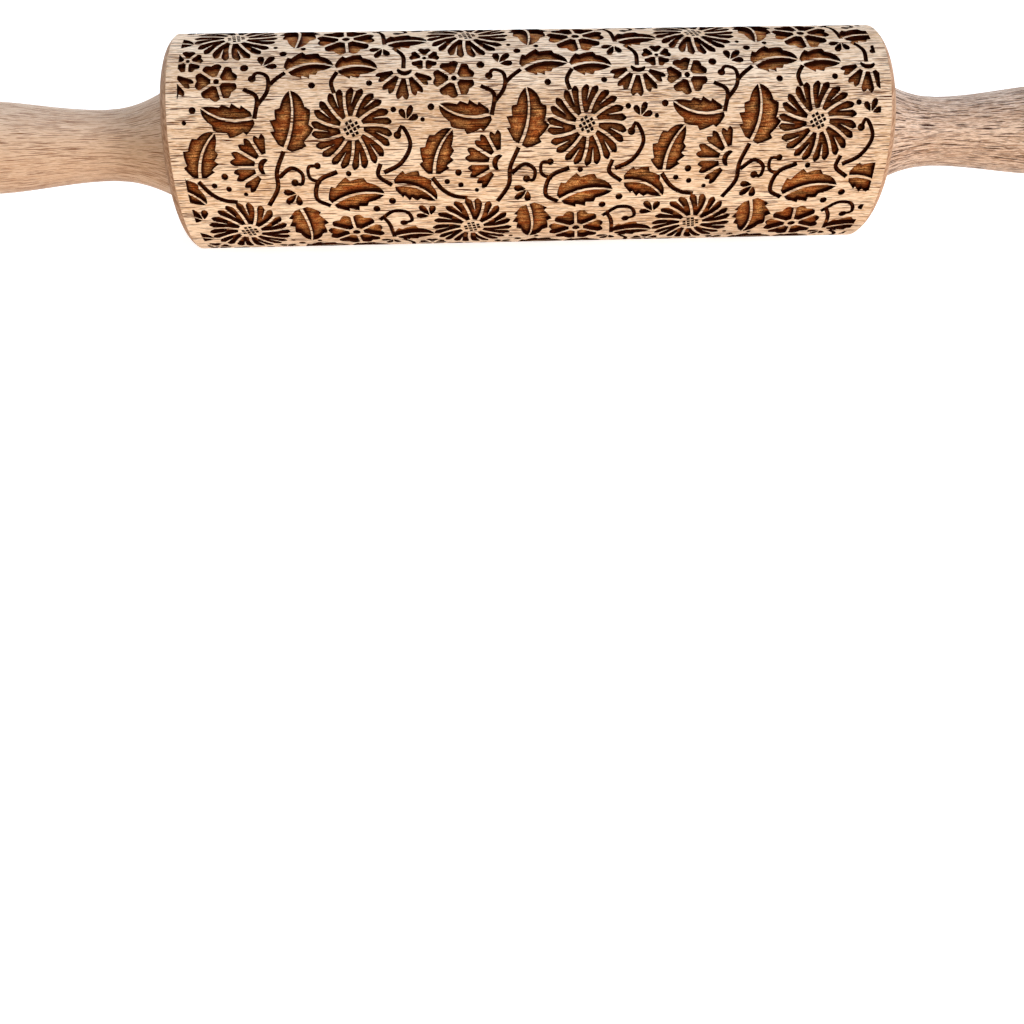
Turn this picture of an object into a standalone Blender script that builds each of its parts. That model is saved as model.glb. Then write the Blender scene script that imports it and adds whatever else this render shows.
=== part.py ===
"""Embossed rolling pin: a beech barrel that spins on a steel rod between two turned handles.

The pin lies along X with its left handle at -X, and rests on the lowest facet of its barrel, so
Z = 0 is the worktop. Every length is in metres.
"""

import math

import bmesh
import bpy

# Fits
SEAT_GAP = 0.0003
RUNNING_GAP = 0.0003
END_GAP = 0.0006

# Barrel
BARREL_LENGTH = 0.250
BARREL_RADIUS = 0.037
SHOULDER_RUN = 0.0031
SHOULDER_DROP = 0.0042
SHOULDER_BOW = 0.00045
BORE_CLEARANCE = 0.002

# Relief: pockets with straight walls, in a pattern that repeats along and round the barrel
RELIEF_DEPTH = 0.0015
END_BAND = 0.0068
RIDGE_WIDTH = 0.0010
LEAST_POCKET = 0.0025
CUT_OVERRUN = 0.0015
REPEATS_ALONG = 3
REPEATS_AROUND = 3

# Each motif's place, as shares of the repeat's length and width, its turn in radians, and its sizes
# as shares of the repeat's width: the radius of a flower, or a leaf's length, width and bend. The
# barrel rests on the plain spot in the middle of a repeat's length, REST_SHARE up its width.
REPEAT_LENGTH_TO_WIDTH = 1.03
REST_SHARE = 0.43
ROSETTE_SHARES = (
    (0.225, 0.206, 0.20, 0.183),
    (0.725, 0.703, 0.50, 0.175),
)
BLOSSOM_SHARES = (
    (0.700, 0.181, 0.10, 0.126),
    (0.163, 0.915, 0.60, 0.091),
)
FAN_SHARES = (
    (0.360, 0.546, 2.86, 0.162),
    (0.955, 0.973, -1.66, 0.150),
)
LEAF_SHARES = (
    (0.431, 0.613, 1.42, 0.258, 0.190, -0.20),
    (0.325, 0.757, 2.97, 0.232, 0.140, 0.28),
    (0.469, 0.361, -1.50, 0.258, 0.178, 0.15),
    (0.606, 0.361, 0.22, 0.245, 0.166, 0.25),
    (0.881, 0.456, -0.38, 0.204, 0.150, 0.30),
    (0.450, 0.955, 0.15, 0.200, 0.150, 0.30),
    (0.065, 0.493, 1.17, 0.206, 0.150, 0.22),
    (0.869, 0.123, 0.12, 0.180, 0.136, 0.25),
    (0.660, 0.963, 0.02, 0.172, 0.136, 0.25),
)

# Outline points of a petal, as shares of its length and of the way to its neighbour, and of half
# a leaf, as shares of its length and of its half width
ROUND_PETAL_SHARES = ((0, 0), (0.80, -1), (1, -0.45), (1, 0.45), (0.80, 1))
POINTED_PETAL_SHARES = ((0, 0), (0.75, -1), (1, 0), (0.75, 1))
HALF_LEAF_SHARES = ((0.30, 1), (0.70, 0.8))
ROSETTE_EYE_SHARE = 0.28
BLOSSOM_EYE_SHARE = 0.2
FAN_EYE_SHARE = 0.3
ROSETTE_PETALS = 8
BLOSSOM_PETALS = 5
FAN_RING_PETALS = 10
FAN_PETALS = 4
ROSETTE_SWIRL = 0.2

# Handles
HANDLE_LENGTH = 0.090
FLANGE_RADIUS = 0.0210
NECK_RADIUS = 0.01225
NECK_AT = 0.0262
BELLY_RADIUS = 0.0161
BELLY_AT = 0.074
FLARE_POWER = 1.96

# Rod
ROD_RADIUS = 0.004
ROD_GRIP = 0.055
ROD_CHAMFER = 0.0008
GROOVE_DEPTH = 0.0005
GROOVE_WIDTH = 0.0016
GROOVE_PITCH = 0.010
GROOVES_PER_END = 2

# Bushes and washers
BUSH_LENGTH = 0.018
BUSH_RADIUS = 0.008
BUSH_FLANGE_RADIUS = 0.013
BUSH_FLANGE_THICKNESS = 0.002
BUSH_CHAMFER = 0.0006
WASHER_RADIUS = 0.0115
WASHER_THICKNESS = 0.0012

# Facets and steps of the round shapes
BARREL_FACETS = 36
HANDLE_FACETS = 24
BUSH_FACETS = 18
ROD_FACETS = 12
SHOULDER_STEPS = 3
FLARE_STEPS = 6
GRIP_STEPS = 5
DOME_STEPS = 5
MERGE_DISTANCE = 0.00001

# Places along the pin's axis, measured from the middle of the barrel
BARREL_END = BARREL_LENGTH / 2
HANDLE_FACE = BARREL_END + END_GAP
WASHER_FACE = HANDLE_FACE - SEAT_GAP
BUSH_FACE = WASHER_FACE - WASHER_THICKNESS - RUNNING_GAP
RECESS_FLOOR = BUSH_FACE - BUSH_FLANGE_THICKNESS - SEAT_GAP
SEAT_FLOOR = BUSH_FACE - BUSH_LENGTH - SEAT_GAP
ROD_END = HANDLE_FACE + ROD_GRIP

# The pattern fills the barrel between its two plain end bands
RELIEF_LENGTH = BARREL_LENGTH - 2 * END_BAND
REPEAT_LENGTH = RELIEF_LENGTH / REPEATS_ALONG
REPEAT_WIDTH = math.tau * BARREL_RADIUS / REPEATS_AROUND
MOTIF_UNIT = min(REPEAT_WIDTH, REPEAT_LENGTH / REPEAT_LENGTH_TO_WIDTH)

# The barrel's lowest facet touches the worktop
AXLE_HEIGHT = BARREL_RADIUS * math.cos(math.pi / BARREL_FACETS)

BEECH = (0.72, 0.50, 0.31)
HANDLE_BEECH = (0.66, 0.45, 0.28)
STEEL = (0.55, 0.56, 0.58)
NYLON = (0.86, 0.85, 0.81)


def clear_scene():
    for obj in list(bpy.data.objects):
        bpy.data.objects.remove(obj)


def collection(name):
    made = bpy.data.collections.new(name)
    bpy.context.scene.collection.children.link(made)
    return made


def finish(name, colour, roughness, metallic=0.0):
    material = bpy.data.materials.new(name)
    material.use_nodes = True
    shader = material.node_tree.nodes["Principled BSDF"]
    shader.inputs["Base Color"].default_value = (*colour, 1)
    shader.inputs["Roughness"].default_value = roughness
    shader.inputs["Metallic"].default_value = metallic
    return material


def hole(radius, facets):
    """Corner radius of a faceted hole whose flats are `radius` from its axis."""
    return radius / math.cos(math.pi / facets)


def turned(name, profile, facets, material, closed):
    """A lathe-turned piece. The profile holds (radius, height) points, and runs down its outer side."""
    mesh = bpy.data.meshes.new(name)
    points = [(radius, 0, height) for radius, height in profile]
    edges = [(i, i + 1) for i in range(len(points) - 1)]
    if closed:
        edges.append((len(points) - 1, 0))
    mesh.from_pydata(points, edges, [])
    mesh.materials.append(material)
    piece = bpy.data.objects.new(name, mesh)
    pin.objects.link(piece)
    screw = piece.modifiers.new("lathe", "SCREW")
    screw.axis = "Z"
    screw.angle = math.tau
    screw.steps = facets
    screw.render_steps = facets
    screw.use_merge_vertices = True
    screw.merge_threshold = MERGE_DISTANCE
    screw.use_smooth_shade = True
    return piece


def place(piece, parent, along, side=1):
    """Puts a piece on the axis, turned end for end on the left side."""
    piece.parent = parent
    piece.location = (0, 0, side * along)
    if side < 0:
        piece.rotation_euler = (math.pi, 0, 0)


def shoulder():
    """The barrel's shoulder: a shallow arc from its end face out to a crisp edge at its full radius."""
    chord = math.hypot(SHOULDER_RUN, SHOULDER_DROP)
    points = []
    for step in range(SHOULDER_STEPS + 1):
        share = step / SHOULDER_STEPS
        bow = 4 * SHOULDER_BOW * share * (1 - share) / chord
        radius = BARREL_RADIUS - SHOULDER_DROP * (1 - share) + bow * SHOULDER_RUN
        points.append((radius, BARREL_END - SHOULDER_RUN * share + bow * SHOULDER_DROP))
    return points


def mirrored(points):
    return [(radius, -height) for radius, height in reversed(points)]


def make_barrel(material):
    """The barrel is bored through for the rod, with a seat and a recess for a bush at each end."""
    recess = hole(max(BUSH_FLANGE_RADIUS + SEAT_GAP, WASHER_RADIUS + RUNNING_GAP), BARREL_FACETS)
    seat = hole(BUSH_RADIUS + SEAT_GAP, BARREL_FACETS)
    bore = hole(ROD_RADIUS + BORE_CLEARANCE, BARREL_FACETS)
    outside = shoulder()
    inside = [
        (bore, SEAT_FLOOR),
        (seat, SEAT_FLOOR),
        (seat, RECESS_FLOOR),
        (recess, RECESS_FLOOR),
        (recess, BARREL_END),
    ]
    profile = outside + mirrored(outside) + mirrored(inside) + inside
    barrel = turned("barrel", profile, BARREL_FACETS, material, closed=True)
    barrel.rotation_euler = (0, 0, math.pi / BARREL_FACETS)
    return barrel


def petals(length, eye_share, points, ring, count, swirl=0.0):
    """The middle `count` petals about +X of a flower that has room for `ring` of them."""
    outlines = []
    for number in range(count):
        middle = (number - (count - 1) / 2) * math.tau / ring
        outline = []
        for out, side in points:
            radius = length * (eye_share + (1 - eye_share) * out)
            reach = math.pi / ring - math.asin(RIDGE_WIDTH / 2 / radius)
            angle = middle + side * reach + swirl * out
            outline.append((radius * math.cos(angle), radius * math.sin(angle)))
        outlines.append(outline)
    return outlines


def leaf(length, width, bend):
    """The two halves of a leaf along +X, with a midrib left standing between them."""
    outlines = []
    for side in (1, -1):
        outline = [(length, side * RIDGE_WIDTH / 4), (0, side * RIDGE_WIDTH / 2)]
        for along, out in HALF_LEAF_SHARES:
            bow = bend * length * along * (1 - along)
            outline.append((length * along, bow + side * out * width / 2))
        outlines.append(outline)
    return outlines


def set_in_repeat(outlines, along, around, turn):
    """Turns outlines by an angle and moves them to a place given as shares of the repeat."""
    cosine = math.cos(turn)
    sine = math.sin(turn)
    placed = []
    for outline in outlines:
        points = []
        for x, y in outline:
            points.append((
                along * REPEAT_LENGTH + x * cosine - y * sine,
                around * REPEAT_WIDTH + x * sine + y * cosine,
            ))
        placed.append(points)
    return placed


def repeat_outlines():
    """The pockets of one repeat, unrolled: x along the barrel, y round it."""
    outlines = []
    for number, (along, around, turn, size) in enumerate(ROSETTE_SHARES):
        flower = petals(
            size * MOTIF_UNIT, ROSETTE_EYE_SHARE, ROUND_PETAL_SHARES,
            ROSETTE_PETALS, ROSETTE_PETALS, (-1) ** number * ROSETTE_SWIRL,
        )
        outlines += set_in_repeat(flower, along, around, turn)
    for along, around, turn, size in BLOSSOM_SHARES:
        flower = petals(
            size * MOTIF_UNIT, BLOSSOM_EYE_SHARE, POINTED_PETAL_SHARES, BLOSSOM_PETALS, BLOSSOM_PETALS
        )
        outlines += set_in_repeat(flower, along, around, turn)
    for along, around, turn, size in FAN_SHARES:
        fan = petals(size * MOTIF_UNIT, FAN_EYE_SHARE, POINTED_PETAL_SHARES, FAN_RING_PETALS, FAN_PETALS)
        outlines += set_in_repeat(fan, along, around, turn)
    for along, around, turn, length, width, bend in LEAF_SHARES:
        halves = leaf(length * MOTIF_UNIT, width * MOTIF_UNIT, bend)
        outlines += set_in_repeat(halves, along, around, turn)
    return outlines


def trimmed(outline, limit, keep):
    """The outline cut off straight at x = limit. `keep` is 1 for what lies above the limit, or -1."""
    kept = []
    for (x1, y1), (x2, y2) in zip(outline, outline[1:] + outline[:1]):
        starts_inside = keep * (x1 - limit) > 0
        ends_inside = keep * (x2 - limit) > 0
        if starts_inside:
            kept.append((x1, y1))
        if starts_inside != ends_inside:
            share = (limit - x1) / (x2 - x1)
            kept.append((limit, y1 + share * (y2 - y1)))
    return kept


def relief_outlines():
    """Every pocket of the relief, unrolled. The outer repeats are cut off at the end bands."""
    outlines = []
    for column in range(-1, REPEATS_ALONG + 1):
        for outline in repeat_outlines():
            whole = [(x + column * REPEAT_LENGTH, y) for x, y in outline]
            kept = trimmed(trimmed(whole, 0, 1), RELIEF_LENGTH, -1)
            if not kept or max(kept)[0] - min(kept)[0] < LEAST_POCKET:
                continue
            for row in range(REPEATS_AROUND):
                outlines.append([(x, y + row * REPEAT_WIDTH) for x, y in kept])
    return outlines


def lay_round(vertices):
    """Lays a flat pocket round the barrel, its walls parallel to the normal at its middle."""
    rest_y = REST_SHARE * REPEAT_WIDTH
    around = [vertex.co.y for vertex in vertices]
    middle = (rest_y - (min(around) + max(around)) / 2) / BARREL_RADIUS
    for vertex in vertices:
        x, y, z = vertex.co
        angle = (rest_y - y) / BARREL_RADIUS
        rise = z + (CUT_OVERRUN - RELIEF_DEPTH) / 2
        vertex.co = (
            BARREL_RADIUS * math.cos(angle) + rise * math.cos(middle),
            BARREL_RADIUS * math.sin(angle) + rise * math.sin(middle),
            x - RELIEF_LENGTH / 2,
        )


def make_relief_cutter():
    """All pockets as one cutter: each is a flat extruded curve, made a mesh and laid round the barrel."""
    curve = bpy.data.curves.new("pocket", "CURVE")
    curve.dimensions = "2D"
    curve.fill_mode = "BOTH"
    curve.extrude = (RELIEF_DEPTH + CUT_OVERRUN) / 2
    pocket = bpy.data.objects.new("pocket", curve)
    cutters.objects.link(pocket)
    shape = bmesh.new()
    for outline in relief_outlines():
        curve.splines.clear()
        spline = curve.splines.new("POLY")
        spline.points.add(len(outline) - 1)
        for point, (x, y) in zip(spline.points, outline):
            point.co = (x, y, 0, 1)
        spline.use_cyclic_u = True
        depsgraph = bpy.context.evaluated_depsgraph_get()
        flat = bpy.data.meshes.new_from_object(pocket.evaluated_get(depsgraph))
        first = len(shape.verts)
        shape.from_mesh(flat)
        shape.verts.ensure_lookup_table()
        lay_round(shape.verts[first:])
        bpy.data.meshes.remove(flat)
    bpy.data.objects.remove(pocket)
    bmesh.ops.remove_doubles(shape, verts=shape.verts, dist=MERGE_DISTANCE)

    mesh = bpy.data.meshes.new("relief_cutter")
    shape.to_mesh(mesh)
    shape.free()
    cutter = bpy.data.objects.new("relief_cutter", mesh)
    cutters.objects.link(cutter)
    cutter.hide_render = True
    cutter.display_type = "WIRE"
    return cutter


def engrave(barrel, cutter):
    """Cuts the relief into the barrel. Both turn with the barrel."""
    cutter.parent = barrel.parent
    cut = barrel.modifiers.new("relief", "BOOLEAN")
    cut.operation = "DIFFERENCE"
    cut.solver = "EXACT"
    cut.object = cutter


def make_bush(name, material):
    """A flanged bush. Its origin is on the outer face of the flange."""
    bore = hole(ROD_RADIUS + RUNNING_GAP, BUSH_FACETS)
    profile = [
        (bore, 0),
        (BUSH_FLANGE_RADIUS - BUSH_CHAMFER, 0),
        (BUSH_FLANGE_RADIUS, -BUSH_CHAMFER),
        (BUSH_FLANGE_RADIUS, -BUSH_FLANGE_THICKNESS),
        (BUSH_RADIUS, -BUSH_FLANGE_THICKNESS),
        (BUSH_RADIUS, BUSH_CHAMFER - BUSH_LENGTH),
        (BUSH_RADIUS - BUSH_CHAMFER, -BUSH_LENGTH),
        (bore, -BUSH_LENGTH),
    ]
    return turned(name, profile, BUSH_FACETS, material, closed=True)


def make_washer(name, material):
    """A flat ring. Its origin is on the face towards the handle."""
    bore = hole(ROD_RADIUS + SEAT_GAP, BUSH_FACETS)
    profile = [
        (bore, 0),
        (WASHER_RADIUS, 0),
        (WASHER_RADIUS, -WASHER_THICKNESS),
        (bore, -WASHER_THICKNESS),
    ]
    return turned(name, profile, BUSH_FACETS, material, closed=True)


def rod_end():
    """One end of the rod from its tip inwards, with ring grooves that hold the glue."""
    points = [(0, ROD_END), (ROD_RADIUS - ROD_CHAMFER, ROD_END), (ROD_RADIUS, ROD_END - ROD_CHAMFER)]
    for ring in range(GROOVES_PER_END):
        middle = ROD_END - GROOVE_PITCH * (ring + 1)
        points.append((ROD_RADIUS, middle + GROOVE_WIDTH / 2))
        points.append((ROD_RADIUS - GROOVE_DEPTH, middle))
        points.append((ROD_RADIUS, middle - GROOVE_WIDTH / 2))
    return points


def make_rod(material):
    end = rod_end()
    return turned("axle_rod", end + mirrored(end), ROD_FACETS, material, closed=False)


def handle_outline():
    """The handle from its domed tip down to its flange: a dome, a swelling grip, a neck and a flare."""
    points = []
    dome = HANDLE_LENGTH - BELLY_AT
    for step in range(DOME_STEPS):
        angle = math.pi / 2 * step / DOME_STEPS
        points.append((BELLY_RADIUS * math.sin(angle), BELLY_AT + dome * math.cos(angle)))
    for step in range(GRIP_STEPS):
        share = 1 - step / GRIP_STEPS
        swell = (1 - math.cos(math.pi * share)) / 2
        radius = NECK_RADIUS + (BELLY_RADIUS - NECK_RADIUS) * swell
        points.append((radius, NECK_AT + (BELLY_AT - NECK_AT) * share))
    for step in range(FLARE_STEPS + 1):
        share = (step / FLARE_STEPS) ** (1 / 2)
        radius = NECK_RADIUS + (FLANGE_RADIUS - NECK_RADIUS) * share**FLARE_POWER
        points.append((radius, NECK_AT * (1 - share)))
    return points


def make_handle(name, material):
    """A turned handle with a blind bore for the rod. Its origin is on the face towards the barrel."""
    bore = hole(ROD_RADIUS + SEAT_GAP, HANDLE_FACETS)
    depth = ROD_GRIP + SEAT_GAP
    profile = handle_outline() + [(bore, 0), (bore, depth), (0, depth)]
    return turned(name, profile, HANDLE_FACETS, material, closed=False)


def axis_empty(name, parent=None):
    empty = bpy.data.objects.new(name, None)
    pin.objects.link(empty)
    empty.parent = parent
    return empty


clear_scene()
pin = collection("embossed_rolling_pin")
cutters = collection("cutters")

beech = finish("barrel_beech", BEECH, 0.55)
handle_beech = finish("handle_beech", HANDLE_BEECH, 0.5)
steel = finish("rod_steel", STEEL, 0.3, 1.0)
nylon = finish("bush_nylon", NYLON, 0.45)

# The axle's own Z runs along the pin, from the left handle to the right one
axle = axis_empty("axle")
axle.location = (0, 0, AXLE_HEIGHT)
axle.rotation_euler = (0, math.pi / 2, 0)
barrel_spin = axis_empty("barrel_spin", axle)

place(make_rod(steel), axle, 0)
barrel = make_barrel(beech)
barrel.parent = barrel_spin
engrave(barrel, make_relief_cutter())
for hand, side in (("left", -1), ("right", 1)):
    place(make_bush(f"{hand}_bush", nylon), barrel_spin, BUSH_FACE, side)
    place(make_washer(f"{hand}_thrust_washer", nylon), axle, WASHER_FACE, side)
    place(make_handle(f"{hand}_handle", handle_beech), axle, HANDLE_FACE, side)
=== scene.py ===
"""An engraved beech rolling pin in plain studio light.

The barrel, with its relief, and the two handles are made here as fine surfaces, set on the places of the
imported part's own. The rod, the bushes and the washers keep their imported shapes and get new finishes.
"""

import math

import bmesh
import bpy
import numpy as np
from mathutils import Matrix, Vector
from mathutils.geometry import delaunay_2d_cdt


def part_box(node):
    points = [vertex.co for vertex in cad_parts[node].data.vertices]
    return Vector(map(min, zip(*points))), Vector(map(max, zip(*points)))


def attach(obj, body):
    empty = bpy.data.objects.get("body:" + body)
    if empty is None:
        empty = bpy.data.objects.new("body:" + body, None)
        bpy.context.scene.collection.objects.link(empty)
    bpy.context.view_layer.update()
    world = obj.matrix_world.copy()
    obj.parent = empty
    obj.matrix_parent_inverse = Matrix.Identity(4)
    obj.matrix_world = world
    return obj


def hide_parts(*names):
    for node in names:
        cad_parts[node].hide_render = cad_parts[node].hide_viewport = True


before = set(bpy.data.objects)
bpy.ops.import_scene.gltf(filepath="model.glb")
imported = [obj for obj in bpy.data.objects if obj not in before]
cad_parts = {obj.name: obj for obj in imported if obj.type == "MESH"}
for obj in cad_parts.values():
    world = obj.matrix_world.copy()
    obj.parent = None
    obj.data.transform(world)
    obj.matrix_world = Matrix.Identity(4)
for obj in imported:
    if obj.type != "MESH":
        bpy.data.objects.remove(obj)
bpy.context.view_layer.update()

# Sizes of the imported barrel. Lengths are in metres, unless another unit is named.
barrel_low, barrel_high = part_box("barrel")
BARREL_END = barrel_high.x
BARREL_RADIUS = (barrel_high.z - barrel_low.z) / 2
AXLE_HEIGHT = (barrel_high.z + barrel_low.z) / 2

# Barrel's ends: the bowed shoulder, the recess round the flange of the bush, its seat and the rod's bore
SHOULDER_RUN = 0.0031
SHOULDER_DROP = 0.0042
SHOULDER_BOW = 0.00045
RIM_RADIUS = BARREL_RADIUS - SHOULDER_DROP
RECESS_RADIUS = 0.0133
RECESS_DEPTH = 0.0035
SEAT_RADIUS = 0.0083
SEAT_DEPTH = 0.0195
BORE_RADIUS = 0.006
# Radius of the rounded edges at the recess's mouth and round a handle's face
FACE_EDGE = 0.0003
# How far before the shoulder the land has a ring of points
SHOULDER_RING = 0.001

# Relief: the pockets' depth, the ridge between two petals, the band that stays plain at each end of the
# barrel, and the radius at which the pattern is unrolled
RELIEF_DEPTH = 0.0015
RIDGE_WIDTH = 0.0009
END_BAND = 0.0068
PATTERN_RADIUS = 0.037
REPEATS_ALONG = 3
REPEATS_AROUND = 3
RELIEF_LENGTH = 2 * BARREL_END - 2 * END_BAND
REPEAT_LENGTH = RELIEF_LENGTH / REPEATS_ALONG
REPEAT_WIDTH = math.tau * PATTERN_RADIUS / REPEATS_AROUND
REPEAT = np.array([REPEAT_LENGTH, REPEAT_WIDTH])
# A pocket that a plain band cuts shorter than this is left out
LEAST_POCKET = 0.0012
# The share of a repeat's width that lies lowest
REST_SHARE = 0.43

# The relief's mesh: the steps between points on floors, on the land and on a row's border, how far
# points keep from an outline and how far round it they are tested, and the land past the relief's ends
FLOOR_STEP = 0.00105
LAND_STEP = 0.0024
BORDER_STEP = 0.0012
CLEAR_OF_OUTLINE = 0.00035
TEST_REACH = 0.001
EDGE_BAND = 0.0005
COLUMNS_PER_ROW = 80
COLUMNS = COLUMNS_PER_ROW * REPEATS_AROUND
# The triangulation works in millimetres, and makes points closer than this many of them one
MILLIMETRES = 1000
MERGE_MILLIMETRES = 1e-4
# A triangle with less than this for twice its area, in square metres, is dropped
LEAST_AREA = 1e-13
# An edge this close to the line between two rows lies on it
SEAM_REACH = 1e-6
# Points of a finished mesh closer than this are made one
WELD = 0.000004
# Edges of more degrees than this are drawn sharp
SHARP_ANGLE = 32
# The farthest that a floor is measured from its walls
WALL_REACH = 0.004

# Motifs of one repeat. A place is a share of the repeat's length and width, a turn is in radians,
# and a size is a share of the repeat's width.
# place, turn, petals, radius, eye radius, swirl
ROSETTES = (
    (0.225, 0.206, 0.20, 11, 0.183, 0.054, 0.22),
    (0.725, 0.703, 0.50, 11, 0.175, 0.051, -0.22),
)
# place, turn, petals, radius
BLOSSOMS = (
    (0.700, 0.181, 0.10, 6, 0.129),
    (0.163, 0.915, 0.60, 5, 0.093),
    (0.039, 0.026, 0.30, 5, 0.066),
)
# place, turn, radius
FANS = (
    (0.360, 0.546, 2.86, 0.165),
    (0.955, 0.973, -1.66, 0.155),
)
# place, turn, length, width, bend, teeth
LEAVES = (
    (0.431, 0.613, 1.42, 0.258, 0.196, -0.20, 4),
    (0.325, 0.757, 2.97, 0.235, 0.150, 0.28, 4),
    (0.469, 0.361, -1.50, 0.258, 0.186, 0.15, 4),
    (0.606, 0.361, 0.22, 0.250, 0.178, 0.25, 4),
    (0.881, 0.456, -0.38, 0.206, 0.152, 0.30, 4),
    (0.450, 0.955, 0.15, 0.208, 0.160, 0.30, 4),
    (0.065, 0.493, 1.17, 0.218, 0.160, 0.22, 4),
    (0.869, 0.123, 0.12, 0.187, 0.146, 0.25, 3),
    (0.660, 0.963, 0.02, 0.182, 0.146, 0.25, 3),
)
# points along the stem, width at its foot and at its tip, radius of the bulb at its tip
STEMS = (
    (((0.338, 0.368), (0.388, 0.452), (0.394, 0.529), (0.431, 0.613)), 0.0206, 0.0194, 0),
    (
        ((0.400, 0.503), (0.456, 0.542), (0.500, 0.516), (0.494, 0.471), (0.465, 0.477)),
        0.0194, 0.0155, 0.0168,
    ),
    (((0.606, 0.361), (0.550, 0.400), (0.569, 0.484), (0.650, 0.523)), 0.0206, 0.0206, 0),
    (((0.578, 0.477), (0.532, 0.497), (0.530, 0.545), (0.568, 0.550)), 0.0168, 0.0142, 0.0148),
    (((0.881, 0.458), (0.825, 0.503), (0.838, 0.555)), 0.0194, 0.0194, 0),
    (
        ((0.850, 0.516), (0.925, 0.555), (0.969, 0.632), (0.938, 0.706), (0.916, 0.672)),
        0.0206, 0.0168, 0.0170,
    ),
    (
        ((0.812, 0.271), (0.875, 0.323), (0.938, 0.316), (0.956, 0.265), (0.919, 0.248)),
        0.0206, 0.0168, 0.0181,
    ),
    (((0.831, 0.288), (0.856, 0.232), (0.869, 0.123)), 0.0194, 0.0194, 0),
    (((0.319, 0.748), (0.331, 0.839), (0.275, 0.877)), 0.0194, 0.0194, 0),
    (
        ((0.329, 0.800), (0.375, 0.865), (0.375, 0.935), (0.331, 0.955), (0.312, 0.925)),
        0.0194, 0.0168, 0.0174,
    ),
    (((0.450, 0.955), (0.412, 0.923), (0.381, 0.890)), 0.0194, 0.0194, 0),
    (((0.669, 0.955), (0.644, 0.903), (0.656, 0.852)), 0.0194, 0.0194, 0),
    (((0.056, 0.490), (0.100, 0.432), (0.150, 0.400), (0.206, 0.390)), 0.0206, 0.0206, 0),
    (((0.950, 0.968), (0.948, 1.039), (0.906, 1.097)), 0.0194, 0.0194, 0),
)
# place, turn, size
SPRIGS = (
    (0.017, 0.321, 2.2, 0.080),
    (0.377, 0.018, 0.9, 0.078),
    (0.443, 0.402, -2.4, 0.076),
    (0.846, 0.063, -2.0, 0.074),
    (0.968, 0.763, 1.2, 0.068),
)
# place, radius
DOTS = (
    (0.562, 0.890, 0.0155), (0.698, 0.514, 0.0129), (0.438, 0.065, 0.0168), (0.403, 0.110, 0.0103),
    (0.062, 0.787, 0.0155), (0.120, 0.470, 0.0129), (0.025, 0.735, 0.0103), (0.179, 0.454, 0.0129),
    (0.522, 0.098, 0.0116), (0.248, 0.428, 0.0103), (0.903, 0.778, 0.0129), (0.278, 0.982, 0.0190),
    (0.877, 0.381, 0.0168), (0.170, 0.510, 0.0155), (0.805, 0.339, 0.0168), (0.804, 0.897, 0.0142),
)

# A petal: where its sides end and how deep its end dips, as shares of the flower's radius
PETAL_SHOULDER = 0.87
PETAL_DIP = 0.115
# A large flower: its petals' fork as a share of its radius, and its eye's squares, half of their
# diagonal and the steps between their middles as shares of the eye's radius
ROSETTE_FORK = 0.30
EYE_SQUARE = 0.19
EYE_STEP = 0.36
# A small flower: where its petals start and its dot's radius, as shares of its radius
BLOSSOM_EYE = 0.27
BLOSSOM_DOT = 0.14
# A half-open flower: the ring its petals are taken from, where they start, and how much each is shorter
# than the one nearer the middle. Its cup: radius, half thickness, and half its sweep in radians.
FAN_RING = 12
FAN_EYE = 0.36
FAN_FALL = 0.07
CUP_RADIUS = 0.20
CUP_HALF_THICKNESS = 0.075
CUP_HALF_SWEEP = 1.35
# A sprig: each drop's turn and share of the length, then the drops' length, width and distance from
# the point that they spread from, as shares of the sprig's size
SPRIG_DROPS = ((-0.85, 0.8), (0, 1), (0.85, 0.8))
DROP_LENGTH = 0.9
DROP_WIDTH = 0.42
DROP_START = 0.1
# A leaf: where its halves start as a share of its length, how deep its teeth are cut as a share of its
# width, and how much of the first tooth lies before its foot
LEAF_START = 0.05
TOOTH_CUT = 0.28
TOOTH_HEAD_START = 0.15
# Points of a petal's end, of the dot in a small flower, of a bulb, and of a lone dot or a drop, then a
# stem's points for each of its places, and the steps between two places of a spline
PETAL_POINTS = 17
DISC_POINTS = 12
BULB_POINTS = 14
DOT_POINTS = 10
STEM_POINTS = 5
SPLINE_STEPS = 16

# Handles, measured along the axle from the face next to the barrel
HANDLE_LENGTH = 0.090
FLANGE_RADIUS = 0.0210
NECK_RADIUS = 0.01225
NECK_AT = 0.0262
BELLY_RADIUS = 0.0161
BELLY_AT = 0.074
FLARE_POWER = 1.96
ROD_BORE_RADIUS = 0.0043
ROD_BORE_DEPTH = 0.0553
HANDLE_COLUMNS = 96

# How a texture's lattice is turned, in radians
LATTICE_TURN = (0.6, 0.5, 0.7)

# Studio: half of the floor's side, its colour, its glow near the pin as a share of white, and the
# distances between which it grows to plain white
FLOOR_REACH = 3.0
FLOOR_COLOUR = (0.82, 0.82, 0.82, 1)
FLOOR_GLOW = 0.62
GLOW_START = 0.8
GLOW_FULL = 1.8
WORLD_LIGHT = 0.20
WORLD_COLOUR = (1, 0.86, 0.7, 1)
# The rays to which the floor and the world are white
RAYS_THAT_SEE_WHITE = ("Is Camera Ray", "Is Glossy Ray", "Is Transmission Ray")
# The point that the lamps face
LIT_POINT = (0, 0, 0.04)
# name, place, width, power in watts, colour
LIGHTS = (
    ("right_key", (3.2, -1.5, 2.9), 1.6, 126.0, (0.93, 0.96, 1.0)),
    ("front_fill", (0.0, -1.6, 0.40), 1.4, 21.0, (1.0, 0.84, 0.64)),
    ("back_sheen", (-0.1, 1.5, 1.3), 1.4, 36.0, (0.66, 0.83, 1.0)),
)

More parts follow.
